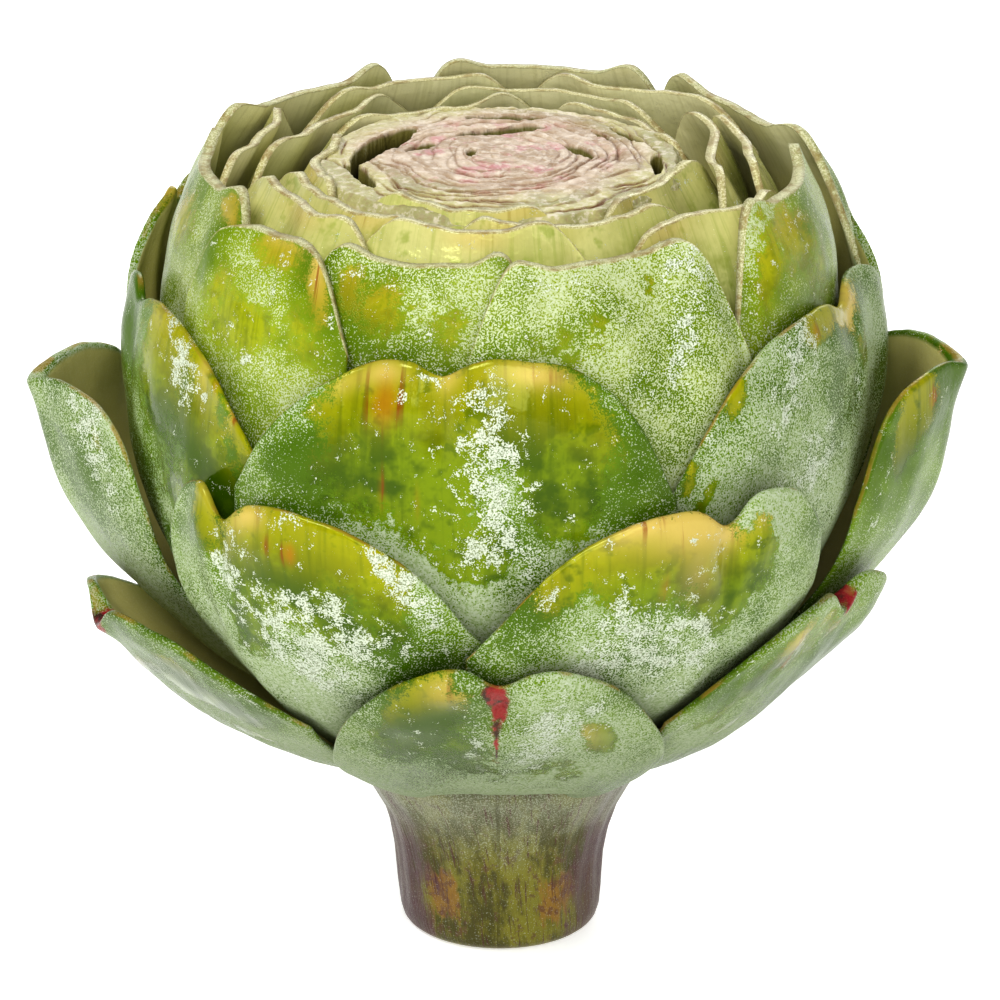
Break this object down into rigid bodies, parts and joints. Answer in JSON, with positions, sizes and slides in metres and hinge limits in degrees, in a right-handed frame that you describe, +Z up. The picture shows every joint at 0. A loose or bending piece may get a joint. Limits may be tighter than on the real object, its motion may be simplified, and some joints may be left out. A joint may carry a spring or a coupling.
{
  "type": "globe artichoke",
  "caption": "Fresh globe artichoke with its crown sliced level, showing nested leaf layers, ringed by overlapping bracts and standing on a short cut stem.",
  "frame": {"origin": "centre of the flat cut foot of the stem", "axes": "+Z up along the stem to the sliced crown; -Y is the front, where the lowest collar bract faces; +X to the front's right"},
  "size_m": [0.1191, 0.1035, 0.1054],
  "materials": {
    "stem": "grey-green stem skin with purple and ochre streaks, satin",
    "bract": "green bract skin under a powdery pale bloom, glossy yellow-green where rubbed",
    "inner_leaf": "pale yellow-green leaf, matt grey-green on the sliced edge",
    "heart": "cream and pink sliced heart leaves, matt"
  },
  "bodies": {
    "root": {"stem": "stem", "heart": "heart", "inner_leaf_3_1": "inner_leaf", "inner_leaf_3_2": "inner_leaf", "inner_leaf_3_3": "inner_leaf", "inner_leaf_3_4": "inner_leaf", "inner_leaf_3_5": "inner_leaf", "inner_leaf_2_1": "inner_leaf", "inner_leaf_2_2": "inner_leaf", "inner_leaf_2_3": "inner_leaf", "inner_leaf_2_4": "inner_leaf", "inner_leaf_2_5": "inner_leaf", "inner_leaf_1_1": "inner_leaf", "inner_leaf_1_2": "inner_leaf", "inner_leaf_1_3": "inner_leaf", "inner_leaf_1_4": "inner_leaf", "inner_leaf_1_5": "inner_leaf", "inner_leaf_1_6": "inner_leaf", "inner_leaf_1_7": "inner_leaf", "crown_bract_1": "bract", "crown_bract_2": "bract", "crown_bract_3": "bract", "crown_bract_4": "bract", "crown_bract_5": "bract", "crown_bract_6": "bract", "crown_bract_7": "bract", "crown_bract_8": "bract", "upper_bract_1": "bract", "upper_bract_2": "bract", "upper_bract_3": "bract", "upper_bract_4": "bract", "upper_bract_5": "bract", "upper_bract_6": "bract", "middle_bract_1": "bract", "middle_bract_2": "bract", "middle_bract_3": "bract", "middle_bract_4": "bract", "middle_bract_5": "bract", "middle_bract_6": "bract", "collar_bract_1": "bract", "collar_bract_2": "bract", "collar_bract_3": "bract", "collar_bract_4": "bract", "collar_bract_5": "bract"}
  },
  "joints": []
}
